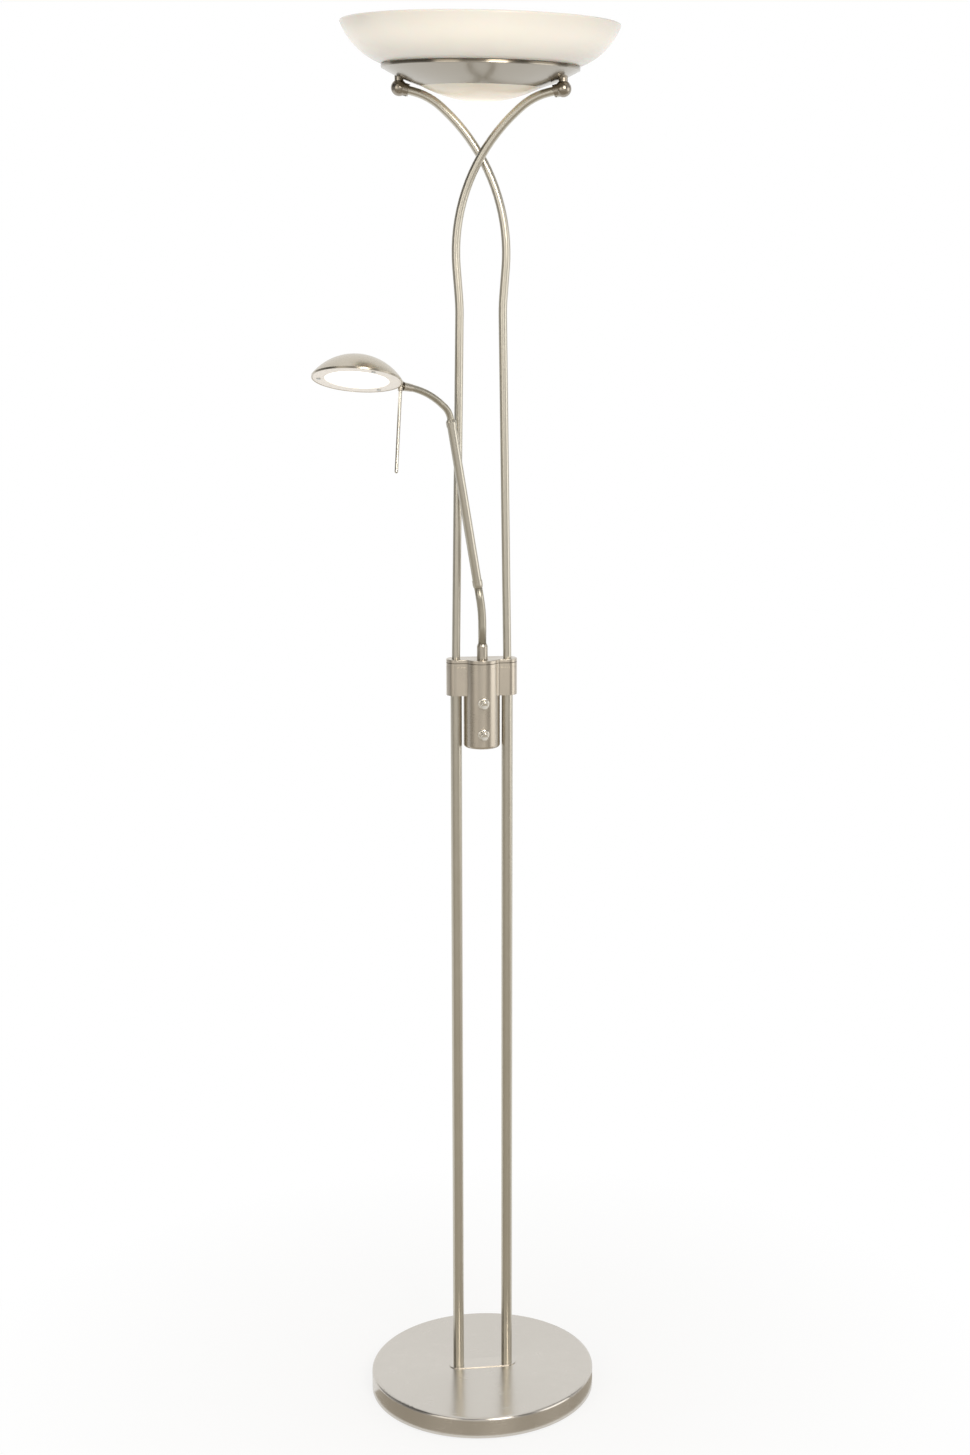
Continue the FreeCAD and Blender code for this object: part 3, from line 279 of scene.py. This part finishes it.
def brushed_metal(name, colour, roughness, grain_mm, depth_mm=0.004, anisotropy=0.0, turned=False,
                  dark_band_level=None, dark_band_mm=(0.25, 0.6), dark_band_colour="5A5348"):
    """Brushed or turned metal: faint scratches, and broad soft clouds that stir its reflections.
    grain_mm is the size of a scratch along x, y and z, or where turned along the radius, the turn
    (in thousandths of a radian) and the height. A real scratch is about 0.05 mm wide, too fine to
    show, so it is drawn at 0.3 mm or more. A dark band runs round at a given level: on the block a
    fine real joint, under the ring's rolled lip painted shade."""
    material, tree, shader = start_material(name)
    point = add(tree, "TexCoord").outputs["Object"]
    grain_at = round_place(tree, point)[0] if turned else point
    grain = grains(tree, grain_at, grain_mm, 4.0, 0.65)
    clouds = grains(tree, point, CLOUD_MM, 3.0, 0.55)
    both = add(tree, "Math", {0: add(tree, "Math", {0: grain, 1: 0.45}, operation="MULTIPLY"),
                              1: add(tree, "Math", {0: clouds, 1: 0.55}, operation="MULTIPLY")})
    share = add(tree, "MapRange", {0: both, 1: 0.35, 2: 0.65})
    tone = add(tree, "Mix", {0: share, 6: linear(colour, 1 - METAL_SPREAD),
                             7: linear(colour, 1 + METAL_SPREAD)}, data_type="RGBA").outputs[2]
    scratched = add(tree, "MapRange", {0: grain, 1: TONE_LOW, 2: TONE_HIGH,
                                       3: roughness - ROUGH_SPREAD, 4: roughness + ROUGH_SPREAD})
    clouded = add(tree, "MapRange", {0: clouds, 1: TONE_LOW, 2: TONE_HIGH, 3: -0.015, 4: 0.02})
    fine = add(tree, "Math", {0: grain, 1: GRAIN_IN_BUMP}, operation="MULTIPLY")
    height = add(tree, "Math", {0: clouds, 1: fine})
    # Painted shade where the band is the ring's lip; a real dark joint where it is the block's lid.
    if dark_band_level is not None:
        level = add(tree, "SeparateXYZ", {0: point}).outputs[2]
        above = add(tree, "Math", {0: level, 1: dark_band_level * MM}, operation="SUBTRACT")
        away = add(tree, "Math", {0: above}, operation="ABSOLUTE")
        dark_band = add(tree, "MapRange", {0: away, 1: dark_band_mm[0] * MM, 2: dark_band_mm[1] * MM,
                                       3: 1.0, 4: 0.0})
        tone = add(tree, "Mix", {0: dark_band, 6: tone, 7: linear(dark_band_colour)},
                   data_type="RGBA").outputs[2]
        sunk = add(tree, "Math", {0: dark_band, 1: DARK_BAND_IN_BUMP}, operation="MULTIPLY")
        height = add(tree, "Math", {0: height, 1: sunk}, operation="SUBTRACT")
    rough = add(tree, "Math", {0: scratched, 1: clouded})
    relief = add(tree, "Bump", {"Height": height, "Distance": depth_mm * 2 * MM, "Strength": 1.0})
    tree.links.new(tone, shader.inputs["Base Color"])
    tree.links.new(rough.outputs[0], shader.inputs["Roughness"])
    tree.links.new(relief.outputs[0], shader.inputs["Normal"])
    shader.inputs["Metallic"].default_value = 1.0
    if anisotropy:
        shader.inputs["Anisotropic"].default_value = anisotropy
        shader.inputs["Anisotropic Rotation"].default_value = 0.25
        tangent = add(tree, "Tangent", direction_type="RADIAL", axis="Z")
        tree.links.new(tangent.outputs[0], shader.inputs["Tangent"])
    return material


def plain_solid(name, colour, roughness, grain_mm, depth_mm=0.02, spread=0.08, metallic=0.0,
                glow=0.0):
    """Moulded, cast or plated material: fine even grain, and faint clouds twelve times as big."""
    material, tree, shader = start_material(name)
    point = add(tree, "TexCoord").outputs["Object"]
    grain = grains(tree, point, (grain_mm,) * 3, 4.0)
    clouds = grains(tree, point, (grain_mm * 12,) * 3, 2.0)
    both = add(tree, "Math", {0: add(tree, "Math", {0: grain, 1: 0.5}, operation="MULTIPLY"),
                              1: add(tree, "Math", {0: clouds, 1: 0.5}, operation="MULTIPLY")})
    share = add(tree, "MapRange", {0: both, 1: TONE_LOW, 2: TONE_HIGH})
    tone = add(tree, "Mix", {0: share, 6: linear(colour, 1 - spread),
                             7: linear(colour, 1 + spread)}, data_type="RGBA").outputs[2]
    rough = add(tree, "MapRange", {0: grain, 1: TONE_LOW, 2: TONE_HIGH,
                                   3: roughness - 0.06, 4: roughness + 0.06})
    relief = add(tree, "Bump", {"Height": grain, "Distance": depth_mm * MM, "Strength": 1.0})
    tree.links.new(tone, shader.inputs["Base Color"])
    tree.links.new(rough.outputs[0], shader.inputs["Roughness"])
    tree.links.new(relief.outputs[0], shader.inputs["Normal"])
    shader.inputs["Metallic"].default_value = metallic
    # A glow above 0 is painted light: the surface shines though it is no lamp.
    shader.inputs["Emission Color"].default_value = linear("FFF8EE")
    shader.inputs["Emission Strength"].default_value = glow
    return material


# Nickel on steel, brushed in circles: reflections fan out from the middle of the base.
base_metal = brushed_metal("brushed_nickel_base", "CDC8C0", 0.25, (0.35, 900, 0.35), 0.003,
                           anisotropy=0.72, turned=True)
dress(base_metal, "satin_nickel", "base_cover")
# Bright nickel on a stamped plate: even, with a clear edge.
plate_metal = brushed_metal("bright_nickel_plate", "CFCAC2", 0.25, (0.3, 8, 0.3), 0.002)
dress(plate_metal, "satin_nickel", "pole_plate")
# Sand-cast iron: dark, dull and grainy.
cast_iron = plain_solid("cast_iron_weight", "3F3D3A", 0.7, 1.2, 0.15, metallic=0.6)
dress(cast_iron, "iron", "base_weight")
# Cut foam sheet: dark, with fine cells and no shine.
soft_pad = plain_solid("dark_foam_pad", "2E2B28", 0.9, 0.5, 0.12)
dress(soft_pad, "pad", "base_pad")
# Moulded rubber: black with a low sheen.
rubber = plain_solid("soft_black_rubber", "262524", 0.6, 0.3, 0.02)
dress(rubber, "gasket", "cord_grommet")
# Zinc plate on turned steel: cool pale grey, half bright.
zinc = plain_solid("zinc_plate", "B7B9B6", 0.34, 0.25, 0.006, metallic=1.0)
dress(zinc, "zinc", "foot_inserts", "foot_nipples", "foot_washers", "foot_nuts")

# ---- Poles and crossing tubes ----
# Two straight steel poles with a bent tube screwed on top of each, all nickel plated. Inserts and
# nipples inside join them to the control block.
# Satin nickel with its grain along the tube: one long soft highlight from end to end.
pole_metal = brushed_metal("satin_nickel_tube", "C8C3B6", 0.31, (0.3, 0.3, 22), 0.003)
dress(pole_metal, "satin_nickel", "left_lower_pole", "right_lower_pole", "left_upper_tube",
      "right_upper_tube")
dress(zinc, "zinc", "pole_top_inserts", "coupling_nipples", "tube_end_inserts")

# ---- Control block ----
# Die-cast block with a pressed lid, clamped round the poles. The driver board and two rotary
# dimmers sit inside, and their shafts come out in front through bright bezels to the fluted knobs.
LID_JOINT = 1012.4
# Nickel brushed round the block's width, which draws its reflections out upright, with a fine dark
# joint under the lid.
block_metal = brushed_metal("brushed_nickel_block", "C9C1B4", 0.29, (14, 14, 0.3), 0.003,
                            anisotropy=0.55, dark_band_level=LID_JOINT)
dress(block_metal, "satin_nickel", "centre_body", "centre_lid")
# Solder mask on glass laminate: green and half shiny.
board_green = plain_solid("green_circuit_board", "2F5A3C", 0.45, 0.6, 0.02)
dress(board_green, "circuit_board", "driver_board")
# Moulded nylon: black, with a fine dull grain.
black_plastic = plain_solid("black_moulded_case", "222222", 0.5, 0.4, 0.02)
dress(black_plastic, "dimmer_case", "upper_dimmer", "lower_dimmer")
dress(zinc, "zinc", "board_screws", "upper_shaft", "lower_shaft")
# Polished nickel: clear, bright reflections.
chrome = brushed_metal("polished_nickel_trim", "E8E4DB", 0.12, (0.5, 0.5, 0.5), 0.001)
dress(chrome, "knob_chrome", "upper_bezel", "lower_bezel")


def new_piece(name, mesh, material):
    """Finished mesh as an object at the origin, smooth, with its material and slot."""
    data = bpy.data.meshes.new(name)
    bmesh.ops.recalc_face_normals(mesh, faces=mesh.faces)
    for face in mesh.faces:
        face.smooth = True
    mesh.to_mesh(data)
    mesh.free()
    piece = bpy.data.objects.new(name, data)
    bpy.context.scene.collection.objects.link(piece)
    data.materials.append(material)
    return piece


# A knob is turned about Y: a slim root, a fluted barrel, and a smooth rolled tip with a dished end.
# The profile gives (depth in front of KNOB_BACK, radius), and KNOB_FLUTED how deep the flutes are
# at a depth, as a share of FLUTE_DEPTH.
KNOB_BACK = -25.4
KNOB_LEVELS = {"upper": 961.6, "lower": 921.0}
KNOB_PROFILE = ((0.0, 0.0), (0.0, 3.5), (0.15, 3.75), (1.0, 3.8), (1.5, 4.3), (2.1, 4.85),
                (5.0, 4.9), (8.2, 4.95), (9.0, 4.75), (9.4, 4.35), (9.9, 4.45), (10.6, 5.0),
                (11.3, 5.1), (12.2, 5.05), (12.75, 4.7), (13.0, 4.2), (12.92, 3.7), (12.75, 2.5),
                (12.65, 0.0))
KNOB_FLUTED = {1.5: 0.5, 2.1: 1.0, 5.0: 1.0, 8.2: 1.0, 9.0: 0.4}
KNOB_FLUTES, FLUTE_DEPTH, FLUTE_SHARPNESS, STEPS_PER_FLUTE = 14, 0.42, 0.7, 8
MERGE_WITHIN = 1e-7


def knob_mesh(level):
    mesh = bmesh.new()
    outline = [mesh.verts.new((radius * MM, (KNOB_BACK - depth) * MM, level * MM))
               for depth, radius in KNOB_PROFILE]
    edges = [mesh.edges.new(pair) for pair in zip(outline, outline[1:])]
    middle = Vector((0, 0, level * MM))
    bmesh.ops.spin(mesh, geom=outline + edges, cent=middle, axis=(0, 1, 0), angle=2 * math.pi,
                   steps=KNOB_FLUTES * STEPS_PER_FLUTE, use_merge=True)
    bmesh.ops.remove_doubles(mesh, verts=mesh.verts, dist=MERGE_WITHIN)
    for vert in mesh.verts:
        fluted = KNOB_FLUTED.get(round(KNOB_BACK - vert.co.y / MM, 1), 0.0)
        if fluted:
            out = vert.co - middle
            out.y = 0
            ridge = abs(math.sin(math.atan2(out.z, out.x) * KNOB_FLUTES / 2)) ** FLUTE_SHARPNESS
            vert.co -= out.normalized() * FLUTE_DEPTH * fluted * (1 - ridge) * MM
    return mesh


for which, level in KNOB_LEVELS.items():
    knob = new_piece(which + "_knob_fluted", knob_mesh(level), chrome)
    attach(knob, which + "_knob")
    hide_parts(which + "_knob")

# ---- Ball fittings and cradle ring ----
# Each tube ends in a turned ball with a sleeve. A stud in it goes up through the spun ring that
# carries the bowl, with a wedge spacer under its nut.
# Turned nickel, a little darker than on the arm's fittings: small, tight highlights.
ball_metal = brushed_metal("turned_nickel_ball", "A69E91", 0.26, (0.4, 0.4, 0.4), 0.004)
dress(ball_metal, "turned_nickel", "left_ball", "right_ball", "neck_sleeves")
LIP_MIDDLE = 1748.5
# Nickel spun in circles: reflections run round the ring. A darker band round its rolled lip is
# painted shade.
ring_metal = brushed_metal("spun_nickel_ring", "ABA599", 0.22, (0.35, 700, 0.35), 0.003,
                           anisotropy=0.5, turned=True, dark_band_level=LIP_MIDDLE, dark_band_mm=(1.3, 2.2),
                           dark_band_colour="7C7365")
dress(ring_metal, "satin_nickel", "cradle_ring")
dress(zinc, "zinc", "socket_screws", "ball_studs", "wedge_spacers", "stud_nuts")


# ---- Uplight ----
# Mouth-blown opal glass, a wide bowl in the ring and a small dish below it on a gasket, satin
# outside. A rolled aluminium carrier holds the light boards between them, under a diffuser sheet.
def opal_glass(name, colour, glow_code, glow_levels, by_height, span_mm, roughness=0.22):
    """Milky body with soft clouds, and the light inside as a warm glow. glow_levels are its levels
    at the start of span_mm, just past the middle and at the end, by height or by distance."""
    material, tree, shader = start_material(name)
    point = add(tree, "TexCoord").outputs["Object"]
    place, distance = round_place(tree, point)
    source = add(tree, "SeparateXYZ", {0: place}).outputs[2] if by_height else distance
    cloud = grains(tree, point, (35, 35, 20))
    fine = grains(tree, point, (1.5, 1.5, 1.5), 2.0)
    tone = add(tree, "Mix", {0: cloud, 6: linear(colour, 0.985), 7: linear(colour, 1.015)},
               data_type="RGBA").outputs[2]
    rough = add(tree, "MapRange", {0: fine, 1: TONE_LOW, 2: TONE_HIGH,
                                   3: roughness - 0.03, 4: roughness + 0.03})
    fine_share = add(tree, "Math", {0: fine, 1: 0.05}, operation="MULTIPLY")
    relief = add(tree, "Bump", {"Height": add(tree, "Math", {0: cloud, 1: fine_share}),
                                "Distance": 0.06 * MM, "Strength": 1.0})
    tree.links.new(tone, shader.inputs["Base Color"])
    tree.links.new(rough.outputs[0], shader.inputs["Roughness"])
    tree.links.new(relief.outputs[0], shader.inputs["Normal"])
    part = add(tree, "MapRange", {0: source, 1: span_mm[0] * MM, 2: span_mm[1] * MM})
    glow = add(tree, "ValToRGB", {"Fac": part})
    ramp = glow.color_ramp
    ramp.interpolation = "EASE"
    ramp.elements[0].color = linear(glow_code, glow_levels[0])
    ramp.elements[1].color = linear(glow_code, glow_levels[2])
    ramp.elements.new(0.55).color = linear(glow_code, glow_levels[1])
    tree.links.new(glow.outputs[0], shader.inputs["Emission Color"])
    shader.inputs["Emission Strength"].default_value = 1.0
    shader.inputs["Subsurface Weight"].default_value = 0.25
    shader.inputs["Subsurface Scale"].default_value = 0.006
    return material


# Satin opal glass: a creamy white that glows most half way up the bowl.
bowl_glass = opal_glass("satin_opal_glass_bowl", "DFDDD5", "FFF6E8", (0.0, 0.17, 0.06), True,
                        (1746, 1800))
dress(bowl_glass, "opal_bowl", "uplight_bowl")
# The same glass over the lower boards: warmest in its middle.
dish_glass = opal_glass("satin_opal_glass_dish", "DFD7C8", "FFF1DC", (0.52, 0.20, 0.03), False,
                        (0, 74))
dress(dish_glass, "opal_dish", "lower_dish")
# Extruded opal acrylic: an even bright sheet.
diffuser_sheet = opal_glass("opal_acrylic_diffuser", "F2EEE6", "FFF4E4", (0.6, 0.55, 0.4), False,
                            (0, 110), 0.35)
dress(diffuser_sheet, "diffuser", "uplight_diffuser")
# Rolled aluminium: pale and cool, half bright.
carrier_metal = plain_solid("rolled_aluminium", "C9CBCC", 0.32, 0.5, 0.008, metallic=1.0)
dress(carrier_metal, "carrier_aluminium", "led_carrier")
# White solder mask: plain and half shiny.
board_white = plain_solid("white_circuit_board", "E6E4DC", 0.4, 0.6, 0.02)
dress(board_white, "circuit_board", "up_led_board", "down_led_board")
dress(rubber, "gasket", "dish_gasket")

# ---- Reading arm ----
# A turned collar that swivels on the block's lid, and a satin tube between two ferrules with a
# gooseneck at each end.
# Turned nickel with a soft face: a broad, quiet highlight.
turned_metal = brushed_metal("turned_nickel_fitting", "C0B9AC", 0.33, (0.4, 0.4, 0.4), 0.003)
dress(turned_metal, "turned_nickel", "arm_collar", "end_ferrule")
dress(pole_metal, "satin_nickel", "arm_tube")
dress(pole_metal, "turned_nickel", "lower_ferrule", "upper_ferrule")
dress(zinc, "zinc", "swivel_stud", "swivel_nut")

# Close-wound steel core in a fine smooth sleeve of satin nickel: hardly any ribs, a soft sheen.
RIB_PITCH, RIB_DEPTH = 1.1, 0.012
sleeve_metal, tree, shader = start_material("satin_nickel_sleeve")
place = add(tree, "TexCoord")
lengthways = add(tree, "SeparateXYZ", {0: place.outputs["UV"]}).outputs[1]
turns = add(tree, "Math", {0: lengthways, 1: 2 * math.pi / (RIB_PITCH * MM)}, operation="MULTIPLY")
wave = add(tree, "Math", {0: turns}, operation="SINE")
smudge = grains(tree, place.outputs["Object"], (9, 9, 14))
tone = add(tree, "Mix", {0: smudge, 6: linear("B2AD9F"), 7: linear("BEB9AB")}, data_type="RGBA")
rough = add(tree, "MapRange", {0: smudge, 1: TONE_LOW, 2: TONE_HIGH, 3: 0.30, 4: 0.38})
ribs = add(tree, "Bump", {"Height": wave, "Distance": RIB_DEPTH * MM, "Strength": 1.0})
tree.links.new(tone.outputs[2], shader.inputs["Base Color"])
tree.links.new(rough.outputs[0], shader.inputs["Roughness"])
tree.links.new(ribs.outputs[0], shader.inputs["Normal"])
shader.inputs["Metallic"].default_value = 1.0

# The arm lies in an upright plane through ARM_FOOT. Points in it are (reach, height) in mm, and
# angles are measured from the upright.
ARM_FOOT = Vector((0, -8.0, 1017.0))
ARM_TURN = math.radians(20)
ARM_LEAN, CURL_ANGLE, END_ANGLE = 10.0, 49.0, 79.0
SLEEVE_START, LEAN_HEIGHT = 9.5, 61.0
LEAN_TO_TUBE, TUBE_LENGTH, TUBE_TO_CURL, CURL_TO_BEND, BEND_TO_TIP = 36.0, 210.3, 13.3, 39.3, 33.0
LOWER_RADIUS, UPPER_RADIUS = 5.2, 4.3
LOWER_BENDS, UPPER_BENDS = [200.0], [27.0, 90.0]
HELD_IN_FERRULE, COLLAR_MOUTH, END_HELD = 4.0, 24.0, 13.0
GOOSENECK_AROUND, ARC_STEPS = 40, 28


def arm_point(reach, height):
    """Place in the lamp of a point in the arm's plane, in metres."""
    level = Vector((-math.cos(ARM_TURN), -math.sin(ARM_TURN), 0))
    return (ARM_FOOT + level * reach + Vector((0, 0, height))) * MM


def along(angle, length):
    a = math.radians(angle)
    return Vector((math.sin(a), math.cos(a))) * length


lean_point = Vector((0, LEAN_HEIGHT))
tube_start = lean_point + along(ARM_LEAN, LEAN_TO_TUBE)
tube_end = tube_start + along(ARM_LEAN, TUBE_LENGTH)
curl_root = tube_end + along(ARM_LEAN, TUBE_TO_CURL)
curl_bend = curl_root + along(CURL_ANGLE, CURL_TO_BEND)
arm_tip = curl_bend + along(END_ANGLE, BEND_TO_TIP)


def rounded_line(points, radii):
    """Points close together on straight runs joined by tangent arcs."""
    line = [points[0]]
    for corner, before, after, radius in zip(points[1:-1], points, points[2:], radii):
        back, forth = (before - corner).normalized(), (after - corner).normalized()
        half = (math.pi - back.angle(forth)) / 2
        reach = radius * math.tan(half)
        centre = corner + (back + forth).normalized() * (radius / math.cos(half))
        first = corner + back * reach - centre
        sweep = first.angle_signed(corner + forth * reach - centre)
        for k in range(ARC_STEPS + 1):
            a = -sweep * k / ARC_STEPS
            line.append(centre + Vector((first.x * math.cos(a) - first.y * math.sin(a),
                                         first.x * math.sin(a) + first.y * math.cos(a))))
    line.append(points[-1])
    return line


def gooseneck(name, points, radii, radius):
    """Round sleeve: a circle extruded along a line in the arm's plane, with its UV in metres round
    it and along it."""
    line = rounded_line(points, radii)
    side = Vector((math.sin(ARM_TURN), -math.cos(ARM_TURN), 0))
    stations = []
    for k, point in enumerate(line):
        heading = arm_point(*line[min(k + 1, len(line) - 1)]) - arm_point(*line[max(k - 1, 0)])
        out = side.cross(heading).normalized()
        turn = Matrix((side, out, side.cross(out))).transposed().to_4x4()
        stations.append(Matrix.Translation(arm_point(*point)) @ turn)
    mesh = bmesh.new()
    ring = bmesh.ops.create_circle(mesh, cap_ends=True, segments=GOOSENECK_AROUND,
                                   radius=radius * MM)["verts"]
    edges = list(mesh.edges)
    before, run, marks = Matrix(), 0.0, {}
    for k, station in enumerate(stations):
        if k:
            grown = bmesh.ops.extrude_edge_only(mesh, edges=edges)["geom"]
            ring = [part for part in grown if isinstance(part, bmesh.types.BMVert)]
            edges = [part for part in grown if isinstance(part, bmesh.types.BMEdge)
                     and all(vert in ring for vert in part.verts)]
            run += (line[k] - line[k - 1]).length * MM
        bmesh.ops.transform(mesh, matrix=station @ before.inverted(), verts=ring)
        back = station.inverted()
        for vert in ring:
            here = back @ vert.co
            share = math.atan2(here.y, here.x) / (2 * math.pi)
            marks[vert] = (round(share * GOOSENECK_AROUND) % GOOSENECK_AROUND, run)
        before = station
    walls = [face for face in mesh.faces if len(face.verts) == 4]
    bmesh.ops.edgeloop_fill(mesh, edges=edges)
    uv = mesh.loops.layers.uv.new("UVMap")
    girth = 2 * math.pi * radius * MM
    for face in walls:
        crosses = {marks[vert][0] for vert in face.verts} == {0, GOOSENECK_AROUND - 1}
        for loop in face.loops:
            step, length = marks[loop.vert]
            if crosses and step == 0:
                step = GOOSENECK_AROUND
            loop[uv].uv = (girth * step / GOOSENECK_AROUND, length)
    return new_piece(name, mesh, sleeve_metal)


lower_sleeve = gooseneck("lower_gooseneck_sleeve",
                         [Vector((0, SLEEVE_START)), lean_point, tube_start], LOWER_BENDS,
                         LOWER_RADIUS)
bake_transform(lower_sleeve)
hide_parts("lower_gooseneck")
upper_sleeve = gooseneck("upper_gooseneck_sleeve",
                         [tube_end, curl_root, curl_bend,
                          arm_tip - along(END_ANGLE, HELD_IN_FERRULE)], UPPER_BENDS, UPPER_RADIUS)
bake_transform(upper_sleeve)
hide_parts("upper_gooseneck")

# ---- Reading head ----
# Spun dome on a turned knuckle at the end of the arm. A finned heatsink and a light board sit in it
# behind the lens and a pale ring, held by screws, and the rod below it is the handle.
dress(turned_metal, "turned_nickel", "head_knuckle")
# Nickel on spun steel, satin finished: soft broad reflections over the dome.
dome_metal = brushed_metal("spun_nickel_dome", "C8C0B1", 0.27, (0.45, 0.45, 0.45), 0.003)
dress(dome_metal, "satin_nickel", "head_shell")
# Drawn bar in bright nickel: a light line with a sharp edge.
rod_metal = brushed_metal("bright_nickel_rod", "D0CCC2", 0.28, (0.3, 0.3, 9), 0.002)
dress(rod_metal, "satin_nickel", "rod_handle")
# Stoved enamel: a pale even ring. Its faint glow is painted light, standing for the lens beside it
# lighting the ring.
painted_glow_enamel = plain_solid("pale_enamel_ring_painted_glow", "DAD5CE", 0.4, 0.4, 0.001, spread=0.01, glow=0.2)
dress(painted_glow_enamel, "head_ring", "head_bezel")
# Moulded opal acrylic in front of the light: it shines plain white.
lens_material, tree, shader = start_material("shining_opal_lens")
fine = grains(tree, add(tree, "TexCoord").outputs["Object"], (0.8, 0.8, 0.8))
tone = add(tree, "Mix", {0: fine, 6: linear("FFFDF8"), 7: linear("FFFFFF")}, data_type="RGBA")
relief = add(tree, "Bump", {"Height": fine, "Distance": 0.02 * MM, "Strength": 1.0})
tree.links.new(tone.outputs[2], shader.inputs["Emission Color"])
tree.links.new(relief.outputs[0], shader.inputs["Normal"])
shader.inputs["Base Color"].default_value = linear("F6F4EE")
shader.inputs["Roughness"].default_value = 0.3
shader.inputs["Emission Strength"].default_value = 1.3
dress(lens_material, "lens", "head_lens")
dress(carrier_metal, "carrier_aluminium", "head_heatsink")
dress(board_white, "circuit_board", "head_board")
dress(zinc, "zinc", "head_screws")
